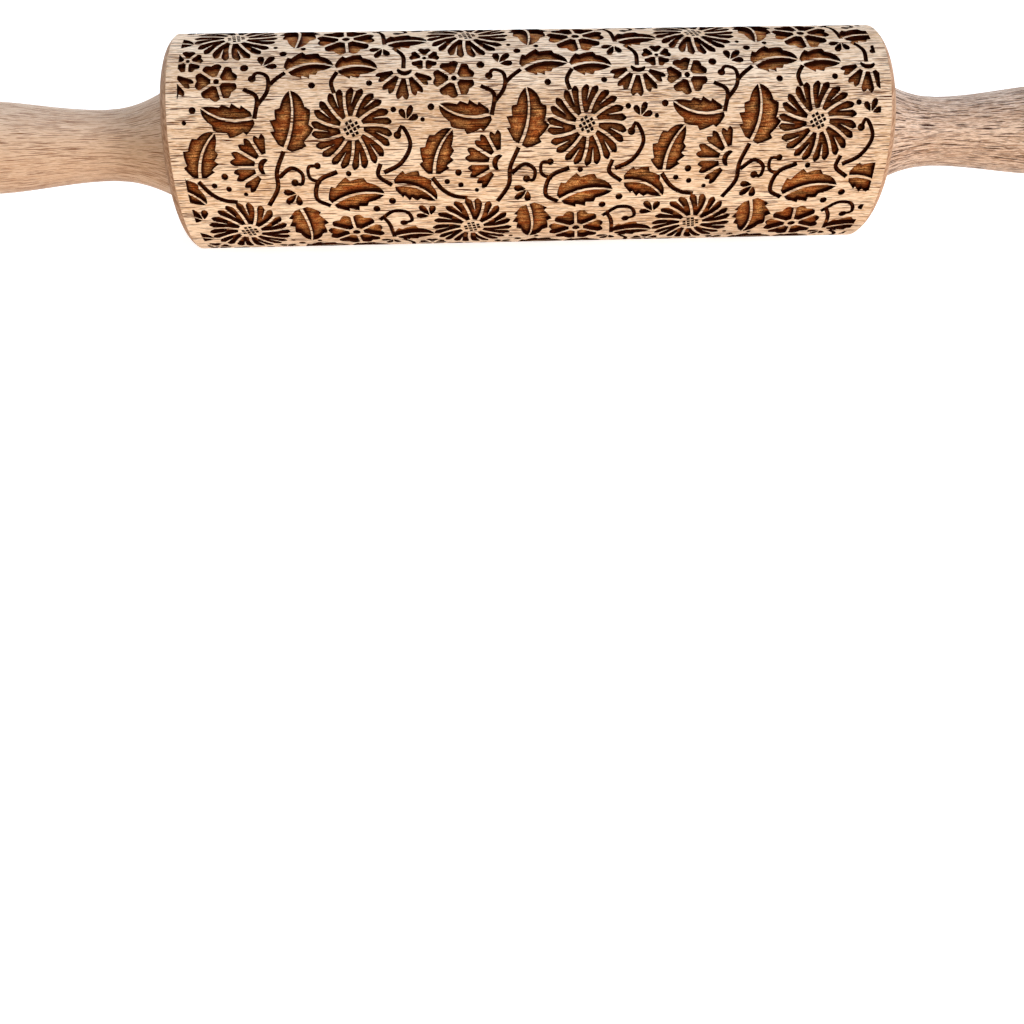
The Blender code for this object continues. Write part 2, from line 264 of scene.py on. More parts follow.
# Camera: lens and sensor in millimetres, turn in degrees
CAMERA_LENS = 37.51
CAMERA_SENSOR = 36
CAMERA_PLACE = (-0.02686, -0.23186, 0.38332)
CAMERA_TURN = (14.578, -1.881, -2.389)


def spun(points, angle, centre=(0, 0)):
    """Points turned by an angle about the origin, then moved to a centre."""
    cosine, sine = math.cos(angle), math.sin(angle)
    return points @ np.array([[cosine, sine], [-sine, cosine]]) + np.asarray(centre)


def swirled(points, inner, outer, swirl):
    """Points turned about the origin by `swirl` times how far out they lie between two radii."""
    radius = np.hypot(points[:, 0], points[:, 1])
    angle = np.arctan2(points[:, 1], points[:, 0]) + swirl * (radius - inner) / (outer - inner)
    return np.stack([radius * np.cos(angle), radius * np.sin(angle)], 1)


def disc(radius, count=DISC_POINTS):
    """A circle of `count` points."""
    angle = np.linspace(0, math.tau, count, endpoint=False)
    return radius * np.stack([np.cos(angle), np.sin(angle)], 1)


def petal(ring, inner, outer, fork=0.0, swirl=0.0):
    """One petal about +X of a flower that has room for `ring` of them.

    Its sides run half a ridge from the rays between petals. Across the outer end, for t from -1 to 1,
    the radius falls off as (2|t| - 1)^2 beyond the two lobes and dips as (1 - 2|t|)^1.3 between them.
    The fork is one point at t = 0 that lies further in by that share of the radius.
    """
    half = math.pi / ring
    across = RIDGE_WIDTH / 2 * np.array([math.sin(half), -math.cos(half)])
    ray = np.array([math.cos(half), math.sin(half)])
    shoulder = PETAL_SHOULDER * outer * ray + across
    foot = inner * ray + across
    t = np.linspace(-1, 1, PETAL_POINTS)
    lobe = np.abs(t)
    fall = (outer - np.hypot(*shoulder)) * (2 * lobe - 1) ** 2
    dip = PETAL_DIP * outer * np.clip(1 - 2 * lobe, 0, 1) ** 1.3
    radius = outer - np.where(lobe > 0.5, fall, dip)
    radius[len(t) // 2] -= fork * outer
    angle = t * math.atan2(shoulder[1], shoulder[0])
    end = np.stack([radius * np.cos(angle), radius * np.sin(angle)], 1)
    side = foot + (shoulder - foot) * np.linspace(0.8, 0, 4)[:, None]
    outline = np.concatenate([end, side, side[::-1] * [1, -1]])
    return swirled(outline, inner, outer, swirl)


def ring_of(petals, inner, outer, fork=0.0, swirl=0.0):
    """Petals set evenly round the origin."""
    turns = math.tau / petals * np.arange(petals)
    return [spun(petal(petals, inner, outer, fork, swirl), turn) for turn in turns]


def rosette(petals, outer, inner, swirl):
    """Pockets of a large flower: forked petals round a lattice of twelve squares."""
    pockets = ring_of(petals, inner, outer, ROSETTE_FORK, swirl)
    square = spun(disc(EYE_SQUARE * inner, 4), math.pi / 4)
    for column in (-1.5, -0.5, 0.5, 1.5):
        for level in (-1.5, -0.5, 0.5, 1.5):
            if abs(column) + abs(level) < 3:
                pockets.append(square + EYE_STEP * inner * np.array([column, level]))
    return pockets


def drop(length, width):
    """A teardrop along +X, for a from 0 to a full turn.

    It lies 0.65 times the width times sin(a) sin(a/2) across length times (1 - cos(a)) / 2.
    """
    a = np.linspace(0, math.tau, DOT_POINTS, endpoint=False)
    return np.stack([length * (1 - np.cos(a)) / 2, -0.65 * width * np.sin(a) * np.sin(a / 2)], 1)


def sprig(size):
    """Pockets of a sprig: three drops that spread from one point."""
    drops = []
    for turn, share in SPRIG_DROPS:
        one = drop(DROP_LENGTH * size * share, DROP_WIDTH * size) + [DROP_START * size, 0]
        drops.append(spun(one, turn, (-size / 2, 0)))
    return drops


def blossom(petals, outer):
    """Pockets of a small flower: petals round a dot."""
    return ring_of(petals, BLOSSOM_EYE * outer, outer) + [disc(BLOSSOM_DOT * outer)]


def fan(outer):
    """Pockets of a half-open flower: five petals over a crescent cup.

    The cup's half thickness goes as the square root of 1 - t^2, for t from -1 to 1 along its sweep.
    """
    pockets = []
    for off in range(-2, 3):
        reach = outer * (1 - FAN_FALL * abs(off))
        pockets.append(spun(petal(FAN_RING, FAN_EYE * outer, reach), off * math.tau / FAN_RING))
    t = np.linspace(-1, 1, 11)
    thick = CUP_HALF_THICKNESS * outer * np.sqrt(1 - t ** 2)
    ray = np.stack([np.cos(CUP_HALF_SWEEP * t), np.sin(CUP_HALF_SWEEP * t)], 1)
    outside = ray * (CUP_RADIUS * outer + thick)[:, None]
    inside = ray * (CUP_RADIUS * outer - thick)[:, None]
    return pockets + [np.concatenate([outside, inside[-2:0:-1]])]


def leaf(length, width, bend, teeth):
    """Pockets of a leaf: two halves beside a bowed midrib, with forward teeth on their outer edges.

    At share t of the length, the midrib is bowed by 2 bend t (1 - t) times the length, and the half
    width is width / 2 times sin(pi t^0.8)^0.7. A tooth widens from 1 - cut to 1 times that, as the cut
    times g^1.2 for g from 0 to 1 along it.
    """
    def rib(t):
        """Points of the midrib."""
        return np.stack([length * t, 2 * bend * length * t * (1 - t)], 1)

    def beside(t, side):
        """Unit steps square to the midrib."""
        along = np.stack([np.ones_like(t), 2 * bend * (1 - 2 * t)], 1)
        along /= np.hypot(along[:, 0], along[:, 1])[:, None]
        return side * np.stack([-along[:, 1], along[:, 0]], 1)

    t = np.linspace(LEAF_START, 1, 6 * teeth + 1)
    grown = (t * teeth + TOOTH_HEAD_START) % 1.0
    tooth = 1 - TOOTH_CUT + TOOTH_CUT * grown ** 1.2
    full = width / 2 * np.clip(np.sin(math.pi * t ** 0.8), 0, 1) ** 0.7
    out = np.maximum(full * tooth, 0.53 * RIDGE_WIDTH)
    back = np.linspace(1, LEAF_START, 7)
    gap = RIDGE_WIDTH / 2 * (1.2 - 0.7 * back)
    halves = []
    for side in (1, -1):
        outer = rib(t) + beside(t, side) * out[:, None]
        inner = rib(back) + beside(back, side) * gap[:, None]
        halves.append(np.concatenate([outer[:-1], inner]))
    return halves


def spline(points, count):
    """Evenly spaced points along a Catmull-Rom spline."""
    ends = [2 * points[0] - points[1], *points, 2 * points[-1] - points[-2]]
    t = np.linspace(0, 1, SPLINE_STEPS, endpoint=False)[:, None]
    runs = []
    for a, b, c, d in zip(ends, ends[1:], ends[2:], ends[3:]):
        cubic = (3 * b - a - 3 * c + d) * t ** 3 + (2 * a - 5 * b + 4 * c - d) * t ** 2
        runs.append(0.5 * (2 * b + (c - a) * t + cubic))
    line = np.concatenate([*runs, points[-1:]])
    run = np.concatenate([[0], np.cumsum(np.hypot(*np.diff(line, axis=0).T))])
    even = np.linspace(0, run[-1], count)
    return np.stack([np.interp(even, run, line[:, 0]), np.interp(even, run, line[:, 1])], 1)


def stem(points, foot, tip):
    """A strip along a spline, its width going from `foot` to `tip`."""
    line = spline(points, STEM_POINTS * len(points))
    along = np.gradient(line, axis=0)
    along /= np.hypot(along[:, 0], along[:, 1])[:, None]
    width = np.linspace(foot, tip, len(line))[:, None]
    out = np.stack([-along[:, 1], along[:, 0]], 1) * width / 2
    return np.concatenate([line + out, (line - out)[::-1]])


def repeat_outlines():
    """Pockets of one repeat, unrolled: x along the barrel, y round it."""
    unit = REPEAT_WIDTH
    motifs = [
        (x, y, turn, rosette(petals, outer * unit, inner * unit, swirl))
        for x, y, turn, petals, outer, inner, swirl in ROSETTES
    ]
    motifs += [(x, y, turn, blossom(petals, outer * unit)) for x, y, turn, petals, outer in BLOSSOMS]
    motifs += [(x, y, turn, fan(outer * unit)) for x, y, turn, outer in FANS]
    motifs += [
        (x, y, turn, leaf(length * unit, width * unit, bend, teeth))
        for x, y, turn, length, width, bend, teeth in LEAVES
    ]
    for points, foot, tip, bulb in STEMS:
        line = np.array(points) * REPEAT
        strip = [stem(line, foot * unit, tip * unit)]
        if bulb:
            strip.append(disc(bulb * unit, BULB_POINTS) + line[-1])
        motifs.append((0, 0, 0, strip))
    motifs += [(x, y, turn, sprig(size * unit)) for x, y, turn, size in SPRIGS]
    motifs += [(x, y, 0, [disc(radius * unit, DOT_POINTS)]) for x, y, radius in DOTS]
    return [spun(outline, turn, REPEAT * (x, y)) for x, y, turn, motif in motifs for outline in motif]


def cut_at(outline, limit, keep):
    """An outline cut off straight at x = limit: each point that is kept, then each crossing after it.

    `keep` is 1 to keep what lies beyond the limit and -1 to keep what lies before it.
    """
    after = np.roll(outline, -1, 0)
    kept = keep * (outline[:, 0] - limit) > 0
    crosses = kept != np.roll(kept, -1)
    run = np.where(crosses, after[:, 0] - outline[:, 0], 1)
    crossing = outline + ((limit - outline[:, 0]) / run)[:, None] * (after - outline)
    crossing[:, 0] = limit
    return np.stack([outline, crossing], 1)[np.stack([kept, crosses], 1)]


def row_of(outlines):
    """A repeat's outlines set out along one row of repeats, and cut off at the end bands.

    Those that reach into the row from its neighbours are in it as well.
    """
    row = []
    for column in range(-1, REPEATS_ALONG + 1):
        for outline in outlines:
            cut = cut_at(cut_at(outline + [column * REPEAT_LENGTH, 0], 0, 1), RELIEF_LENGTH, -1)
            if len(cut) < 3 or np.ptp(cut[:, 0]) < LEAST_POCKET:
                continue
            for level in (-1, 0, 1):
                moved = cut + [0, level * REPEAT_WIDTH]
                if moved[:, 1].max() > 0 and moved[:, 1].min() < REPEAT_WIDTH:
                    row.append(moved)
    return row


def within(points, outline):
    """Whether each point is inside an outline: an odd number of edges cross the ray towards +X."""
    after = np.roll(outline, -1, 0)
    rises = after[:, 1] - outline[:, 1]
    rises = np.where(rises == 0, 1, rises)
    spans = (outline[:, 1] > points[:, 1:]) != (after[:, 1] > points[:, 1:])
    reach = outline[:, 0] + (points[:, 1:] - outline[:, 1]) / rises * (after[:, 0] - outline[:, 0])
    return (spans & (points[:, :1] < reach)).sum(1) % 2 == 1


def gap_to(points, starts, ends):
    """Distance from each point to the nearest of some straight edges. An edge may have no length."""
    run = ends - starts
    off = points[:, None] - starts
    share = np.clip((off * run).sum(2) / np.maximum((run ** 2).sum(1), 1e-16), 0, 1)
    return np.hypot(*np.moveaxis(off - share[..., None] * run, 2, 0)).min(1)


def lattice(step):
    """A triangular lattice over one row, a little inside its borders."""
    inset = 0.4 * step
    low = np.array([-EDGE_BAND, 0]) + inset
    high = np.array([RELIEF_LENGTH + EDGE_BAND, REPEAT_WIDTH]) - inset
    rows = np.arange(low[1], high[1], step * math.sqrt(0.75))
    x, y = np.meshgrid(np.arange(low[0], high[0], step), rows)
    x = x + step / 2 * (np.arange(len(rows)) % 2)[:, None]
    points = np.stack([x.ravel(), y.ravel()], 1)
    return points[points[:, 0] < high[0]]


def sorted_lattices(pockets):
    """Fine lattice points on the pockets' floors and coarse ones on the land, clear of every outline."""
    kept = []
    for step, on_floor in ((FLOOR_STEP, True), (LAND_STEP, False)):
        points = lattice(step)
        floor = np.zeros(len(points), bool)
        gap = np.full(len(points), np.inf)
        for outline in pockets:
            low, high = outline.min(0) - TEST_REACH, outline.max(0) + TEST_REACH
            near = np.flatnonzero(((points > low) & (points < high)).all(1))
            if len(near):
                floor[near] |= within(points[near], outline)
                edge_gap = gap_to(points[near], outline, np.roll(outline, -1, 0))
                gap[near] = np.minimum(gap[near], edge_gap)
        kept.append(points[(floor == on_floor) & (gap > CLEAR_OF_OUTLINE)])
    return np.concatenate(kept)


def row_border():
    """The row's rectangle as a ring of points, with the barrel's columns on its short sides."""
    low, high = -EDGE_BAND, RELIEF_LENGTH + EDGE_BAND
    long_side = np.linspace(low, high, 2 + int((high - low) / BORDER_STEP))[1:-1]
    short_side = np.linspace(0, REPEAT_WIDTH, COLUMNS_PER_ROW + 1)
    return np.concatenate([
        np.stack([long_side, np.zeros_like(long_side)], 1),
        np.stack([np.full_like(short_side, high), short_side], 1),
        np.stack([long_side[::-1], np.full_like(long_side, REPEAT_WIDTH)], 1),
        np.stack([np.full_like(short_side, low), short_side[::-1]], 1),
    ])


def triangulated_row(pockets):
    """One row of the relief, unrolled: points, triangles, and whether each triangle is a floor.

    The triangulation works in millimetres. Triangles without an area and those outside the row, where
    a pocket reaches past its border, are dropped, and the rest are turned to face outwards.
    """
    points, edges, count = [], [], 0
    for outline in [row_border(), *pockets]:
        points.append(outline)
        ring = count + np.arange(len(outline))
        edges.append(np.stack([ring, np.roll(ring, -1)], 1))
        count += len(outline)
    points.append(sorted_lattices(pockets))
    points = np.concatenate(points) * MILLIMETRES
    edges = np.concatenate(edges)
    made = delaunay_2d_cdt(points.tolist(), edges.tolist(), [], 0, MERGE_MILLIMETRES, False)
    points = np.array(made[0]) / MILLIMETRES
    triangles = np.array(made[2])
    a, b, c = (points[triangles[:, corner]] for corner in range(3))
    doubled_area = (b - a)[:, 0] * (c - a)[:, 1] - (b - a)[:, 1] * (c - a)[:, 0]
    turned = doubled_area < 0
    triangles[turned] = triangles[turned][:, ::-1]
    middle = (a + b + c) / 3
    inside = (middle[:, 1] > 0) & (middle[:, 1] < REPEAT_WIDTH) & (np.abs(doubled_area) > LEAST_AREA)
    triangles, middle = triangles[inside], middle[inside]
    floor = np.zeros(len(triangles), bool)
    for outline in pockets:
        near = np.flatnonzero(((middle > outline.min(0)) & (middle < outline.max(0))).all(1))
        if len(near):
            floor[near] |= within(middle[near], outline)
    return points, triangles, floor


def floor_rims(points, triangles):
    """Directed edges of the floors that have land on their other side.

    An edge on the seam between two rows isn't one, because the floor goes on in the next row.
    """
    edges = np.concatenate([triangles[:, [0, 1]], triangles[:, [1, 2]], triangles[:, [2, 0]]])
    size = len(points)
    alone = ~np.isin(edges[:, 0] * size + edges[:, 1], edges[:, 1] * size + edges[:, 0])
    height = points[edges, 1]
    low_seam = (np.abs(height) < SEAM_REACH).all(1)
    high_seam = (np.abs(height - REPEAT_WIDTH) < SEAM_REACH).all(1)
    return edges[alone & ~low_seam & ~high_seam]


def wall_distance(points, rims, pockets):
    """Distance of each point on a floor to the nearest wall, at most WALL_REACH. The floor's char and
    painted shade darken as it shrinks.
    """
    starts, ends = points[rims[:, 0]], points[rims[:, 1]]
    distance = np.full(len(points), WALL_REACH)
    for outline in pockets:
        low, high = outline.min(0) - WELD, outline.max(0) + WELD
        near = np.flatnonzero(((points >= low) & (points <= high)).all(1))
        beside = ((starts > low - WALL_REACH) & (starts < high + WALL_REACH)).all(1)
        if len(near) and beside.any():
            gap = gap_to(points[near], starts[beside], ends[beside])
            distance[near] = np.minimum(distance[near], gap)
    return distance


def on_barrel(x, y, radius):
    """Unrolled points set round the axle, with y = REST_SHARE of a repeat's width lowest."""
    angle = (REST_SHARE * REPEAT_WIDTH - y) / PATTERN_RADIUS
    return np.stack([x, radius * np.sin(angle), AXLE_HEIGHT - radius * np.cos(angle)], -1)


def rounded_edge(x, radius, start, end):
    """A profile's edge rounded to FACE_EDGE about (x, radius), from one angle to another in degrees."""
    angle = np.radians(np.linspace(start, end, 4))
    return np.stack([x + FACE_EDGE * np.cos(angle), radius + FACE_EDGE * np.sin(angle)], 1)


def end_profile():
    """(x, radius) from the relief's border over the shoulder, the end face and the recess to the bore.

    Its first two steps are still land. The shoulder is a slope, bowed outwards square to itself by
    4 s (1 - s) times SHOULDER_BOW at share s of it.
    """
    shoulder_edge = BARREL_END - SHOULDER_RUN
    share = np.linspace(1, 0, 12)
    bow = 4 * SHOULDER_BOW * share * (1 - share) / math.hypot(SHOULDER_RUN, SHOULDER_DROP)
    x = BARREL_END - SHOULDER_RUN * share + bow * SHOULDER_DROP
    radius = RIM_RADIUS + SHOULDER_DROP * share + bow * SHOULDER_RUN
    face = np.linspace(RIM_RADIUS, RECESS_RADIUS + FACE_EDGE, 8)[1:-1]
    recess_floor = BARREL_END - RECESS_DEPTH
    seat_floor = BARREL_END - SEAT_DEPTH
    return np.concatenate([
        [(RELIEF_LENGTH / 2 + EDGE_BAND, BARREL_RADIUS)],
        [(shoulder_edge - SHOULDER_RING, BARREL_RADIUS)],
        np.stack([x, radius], 1),
        np.stack([np.full_like(face, BARREL_END), face], 1),
        rounded_edge(BARREL_END - FACE_EDGE, RECESS_RADIUS + FACE_EDGE, 0, -90),
        [(recess_floor, RECESS_RADIUS), (recess_floor, SEAT_RADIUS)],
        [(seat_floor, SEAT_RADIUS), (seat_floor, BORE_RADIUS), (0, BORE_RADIUS)],
    ])


def grid_faces(rows, columns, first=0):
    """Quads between the rings of a closed grid, row after row."""
    ring = np.arange(columns)
    after = np.roll(ring, -1)
    start = first + columns * np.arange(rows - 1)[:, None]
    beyond = start + columns
    quads = np.stack([start + ring, start + after, beyond + after, beyond + ring], -1)
    return quads.reshape(-1, 4)


def placed(name, data):
    """A new object in the scene for a mesh, a lamp or a camera."""
    made = bpy.data.objects.new(name, data)
    bpy.context.scene.collection.objects.link(made)
    return made


def mesh_piece(name, points, triangles, quads, finishes, face_finish=None, attributes=None):
    """A piece from points, triangles and quads, its doubles merged and its faces turned outwards.

    `face_finish` numbers each face's finish, and `attributes` are numbers or vectors at its points.
    """
    mesh = bpy.data.meshes.new(name)
    corners = np.concatenate([triangles.ravel(), quads.ravel()])
    sizes = np.repeat([3, 4], [len(triangles), len(quads)])
    mesh.vertices.add(len(points))
    mesh.vertices.foreach_set("co", points.ravel())
    mesh.loops.add(len(corners))
    mesh.loops.foreach_set("vertex_index", corners)
    mesh.polygons.add(len(sizes))
    mesh.polygons.foreach_set("loop_start", np.cumsum(sizes) - sizes)
    for finish in finishes:
        mesh.materials.append(finish)
    if face_finish is not None:
        mesh.polygons.foreach_set("material_index", face_finish)
    mesh.update(calc_edges=True)
    for key, values in (attributes or {}).items():
        kind, field = ("FLOAT", "value") if values.ndim == 1 else ("FLOAT_VECTOR", "vector")
        mesh.attributes.new(key, kind, "POINT").data.foreach_set(field, values.ravel())
    shape = bmesh.new()
    shape.from_mesh(mesh)
    bmesh.ops.remove_doubles(shape, verts=shape.verts, dist=WELD)
    bmesh.ops.recalc_face_normals(shape, faces=shape.faces)
    shape.to_mesh(mesh)
    shape.free()
    mesh.shade_smooth()
    mesh.set_sharp_from_angle(angle=math.radians(SHARP_ANGLE))
    return placed(name, mesh)


def make_barrel(finishes):
    """The barrel: rows of relief round it, then its shoulders, ends, recesses and bore.

    The finishes are those of its land, of its pockets' walls and floors, and of its ends. Each row has
    its points twice, at the land's radius and at the floors', and those that no face uses are dropped.
    """
    land, wall, floor, end = range(4)
    pockets = row_of(repeat_outlines())
    flat, row, is_floor = triangulated_row(pockets)
    lands, floors = row[~is_floor], row[is_floor]
    rims = floor_rims(flat, floors)
    distance = wall_distance(flat, rims, pockets)
    x = flat[:, 0] - RELIEF_LENGTH / 2
    size = len(flat)
    sunk = size + rims
    walls = np.stack([sunk[:, 1], sunk[:, 0], rims[:, 0], rims[:, 1]], 1)
    points, grain, triangles, quads, from_wall = [], [], [], [], []
    for level in range(REPEATS_AROUND):
        y = flat[:, 1] + level * REPEAT_WIDTH
        points += [on_barrel(x, y, BARREL_RADIUS), on_barrel(x, y, BARREL_RADIUS - RELIEF_DEPTH)]
        grain += [on_barrel(x, y, BARREL_RADIUS)] * 2
        start = 2 * size * level
        triangles += [start + lands, start + size + floors]
        quads.append(start + walls)
        from_wall += [np.zeros(size), distance]
    columns = np.arange(COLUMNS) / COLUMNS * REPEATS_AROUND * REPEAT_WIDTH
    profile = end_profile()
    land_quads = 2 * COLUMNS
    for side in (-1, 1):
        start = sum(len(part) for part in points)
        for along, radius in profile:
            x = np.full(COLUMNS, side * along)
            points.append(on_barrel(x, columns, radius))
            grain.append(on_barrel(x, columns, BARREL_RADIUS + min(radius - RIM_RADIUS, 0)))
        rings = grid_faces(len(profile), COLUMNS, start)
        quads += [rings[:land_quads], rings[land_quads:]]
        from_wall.append(np.zeros(COLUMNS * len(profile)))
    finish = [land, floor] * REPEATS_AROUND + [wall] * REPEATS_AROUND + [land, end] * 2
    finish = np.repeat(finish, [len(part) for part in triangles + quads])
    points, triangles, quads = (np.concatenate(parts) for parts in (points, triangles, quads))
    used = np.zeros(len(points), bool)
    used[triangles] = True
    used[quads] = True
    number = np.cumsum(used) - 1
    attributes = {"from_wall": np.concatenate(from_wall)[used], "grain": np.concatenate(grain)[used]}
    faces = number[triangles], number[quads]
    return mesh_piece("engraved_barrel", points[used], *faces, finishes, finish, attributes)


def handle_profile():
    """(x, radius) from the tip over the grip, the neck and the flare to the face and the rod's bore.

    The tip is a quarter of an ellipse. From the neck, the grip swells to the belly as (1 - cos pi s) / 2
    for share s of the way, and the flare to the face as s to a power.
    """
    angle = np.linspace(0, math.pi / 2, 18, endpoint=False)
    x = BELLY_AT + (HANDLE_LENGTH - BELLY_AT) * np.cos(angle)
    tip = np.stack([x, BELLY_RADIUS * np.sin(angle)], 1)
    share = np.linspace(1, 0, 30, endpoint=False)
    swell = (1 - np.cos(math.pi * share)) / 2
    radius = NECK_RADIUS + (BELLY_RADIUS - NECK_RADIUS) * swell
    grip = np.stack([NECK_AT + (BELLY_AT - NECK_AT) * share, radius], 1)
    share = np.linspace(0, 1, 30) ** 0.5
    radius = NECK_RADIUS + (FLANGE_RADIUS - NECK_RADIUS) * share ** FLARE_POWER
    flare = np.stack([NECK_AT * (1 - share), radius], 1)
    flare = flare[flare[:, 0] > FACE_EDGE]
    edge = rounded_edge(FACE_EDGE, FLANGE_RADIUS - FACE_EDGE, 90, 180)
    radius = np.linspace(FLANGE_RADIUS - FACE_EDGE, ROD_BORE_RADIUS, 6)[1:-1]
    face = np.stack([np.zeros_like(radius), radius], 1)
    bore = [(0, ROD_BORE_RADIUS), (ROD_BORE_DEPTH, ROD_BORE_RADIUS), (ROD_BORE_DEPTH, 0)]
    return np.concatenate([tip, grip, flare, edge, face, bore])


def make_handle(name, side, start, wood):
    """A handle turned about the axle, from its face at `start` outwards."""
    profile = handle_profile()
    angle = np.linspace(0, math.tau, HANDLE_COLUMNS, endpoint=False)
    along = np.repeat(start + side * profile[:, :1], HANDLE_COLUMNS, 1)

    def set_round(radius):
        """The profile's rings of points, at these radii."""
        rings = np.stack([along, radius * np.cos(angle), AXLE_HEIGHT + radius * np.sin(angle)], -1)
        return rings.reshape(-1, 3)

    in_tip = profile[:, :1] > BELLY_AT
    grain = {"grain": set_round(np.where(in_tip, profile[:, 1:], BELLY_RADIUS))}
    no_triangles = np.zeros((0, 3), int)
    quads = grid_faces(len(profile), HANDLE_COLUMNS)
    return mesh_piece(name, set_round(profile[:, 1:]), no_triangles, quads, [wood], attributes=grain)


class Value:
    """What a node gives: a number, a colour, a vector or a shader.

    Sums, differences and products of numbers add their Math nodes.
    """

    def __init__(self, owner, socket):
        self.owner = owner
        self.socket = socket

    def _with(self, operation, first, second):
        """The result of a Math node."""
        return self.owner.node("ShaderNodeMath", {"operation": operation}, {0: first, 1: second})

    def __add__(self, other):
        return self._with("ADD", self, other)

    def __radd__(self, other):
        return self._with("ADD", other, self)

    def __sub__(self, other):
        return self._with("SUBTRACT", self, other)

    def __rsub__(self, other):
        return self._with("SUBTRACT", other, self)

    def __mul__(self, other):
        return self._with("MULTIPLY", self, other)

    def __rmul__(self, other):
        return self._with("MULTIPLY", other, self)

    def between(self, low, high):
        """0 at `low`, 1 at `high`, smooth between them and even beyond. `low` may be the larger."""
        settings = {"interpolation_type": "SMOOTHSTEP"}
        flip = low > high
        inputs = {"Value": self, "From Min": min(low, high), "From Max": max(low, high)}
        inputs.update({"To Min": 1.0 if flip else 0.0, "To Max": 0.0 if flip else 1.0})
        return self.owner.node("ShaderNodeMapRange", settings, inputs)


class Nodes:
    """The nodes of a material or of the world. Each one that is added comes from `node`."""

    def __init__(self, owner):
        owner.use_nodes = True
        self.tree = owner.node_tree

    def node(self, kind, settings=None, inputs=None, output=0):
        """A node's output, given its type, its settings, and its sockets' values or links."""
        made = self.tree.nodes.new(kind)
        for key, value in (settings or {}).items():
            setattr(made, key, value)
        for key, value in (inputs or {}).items():
            if isinstance(value, Value):
                self.tree.links.new(value.socket, made.inputs[key])
            else:
                made.inputs[key].default_value = value
        return Value(self, made.outputs[output])

    def seen(self):
        """1 for rays from the camera, off a shiny surface or through a clear one, and 0 for all others."""
        path = self.node("ShaderNodeLightPath").socket.node.outputs
        camera, glossy, transmission = (Value(self, path[ray]) for ray in RAYS_THAT_SEE_WHITE)
        return camera + glossy + transmission


class Finish(Nodes):
    """One material.

    A texture lies in the piece's own coordinates or, where `follows_grain` is set, in its `grain`
    attribute: the same coordinates with its turned sides at one radius, so that the grain follows them.
    """

    def __init__(self, name, follows_grain=False, **constants):
        self.follows_grain = follows_grain
        self.material = bpy.data.materials.new(name)
        super().__init__(self.material)
        self.shader = self.tree.nodes["Principled BSDF"]
        for key, value in constants.items():
            socket = key.replace("_", " ").title().replace("Ior", "IOR")
            self.shader.inputs[socket].default_value = value

    def place(self, scale=(1, 1, 1), offset=(0, 0, 0)):
        """The piece's own coordinates, stretched, turned and shifted for a texture.

        The turn keeps the texture's own lattice from showing as seams across the grain.
        """
        if self.follows_grain:
            where = self.node("ShaderNodeAttribute", {"attribute_name": "grain"}, {}, "Vector")
        else:
            where = self.node("ShaderNodeTexCoord", output="Object")
        inputs = {"Vector": where, "Scale": scale, "Rotation": LATTICE_TURN, "Location": offset}
        return self.node("ShaderNodeMapping", {}, inputs)

    def noise(self, scale, detail, roughness, offset=(0, 0, 0), distortion=0.0):
        """Soft noise from 0 to 1, with about `scale` lumps to the metre in each direction."""
        inputs = {"Vector": self.place(scale, offset), "Scale": 1.0, "Detail": detail}
        inputs.update({"Roughness": roughness, "Distortion": distortion})
        return self.node("ShaderNodeTexNoise", {}, inputs)

    def cells(self, scale, offset=(0, 0, 0)):
        """Distance from the middles of scattered cells, and a number that is even over each cell."""
        inputs = {"Vector": self.place(scale, offset), "Scale": 1.0, "Randomness": 1.0}
        distance = self.node("ShaderNodeTexVoronoi", {"feature": "F1"}, inputs, "Distance")
        colour = Value(self, distance.socket.node.outputs["Color"])
        return distance, self.node("ShaderNodeSeparateColor", {}, {0: colour})

    def mix(self, factor, first, second):
        """A colour between two others."""
        inputs = {0: factor, 6: first, 7: second}
        return self.node("ShaderNodeMix", {"data_type": "RGBA"}, inputs, 2)

    def finish(self, colour, roughness, height=None, distance=0.0, strength=1.0):
        """The material, with its colour and roughness, and a bump of this depth from a height."""
        self.tree.links.new(colour.socket, self.shader.inputs["Base Color"])
        self.tree.links.new(roughness.socket, self.shader.inputs["Roughness"])
        if height is not None:
            inputs = {"Height": height, "Distance": distance, "Strength": strength}
            bump = self.node("ShaderNodeBump", {}, inputs)
            self.tree.links.new(bump.socket, self.shader.inputs["Normal"])
        return self.material


def rgb(red, green, blue):
    """A colour as the screen shows it, from 0 to 255, made linear."""
    linear = []
    for value in (red, green, blue):
        value /= 255
        linear.append(value / 12.92 if value <= 0.04045 else ((value + 0.055) / 1.055) ** 2.4)
    return (*linear, 1.0)


def fibre_marks(wood, offset, along=1.0, across=1.0):
    """Streaks and finer fibres along X, each from 0 to 1.

    `along` and `across` multiply how many there are to a metre along the grain and across it.
    """
    streaks = wood.noise((100 * along, 3200 * across, 3200 * across), 2, 0.6, offset, 0.8)
    fibres = wood.noise((420 * along, 5200 * across, 5200 * across), 2, 0.6, offset, 0.8)
    return streaks, fibres


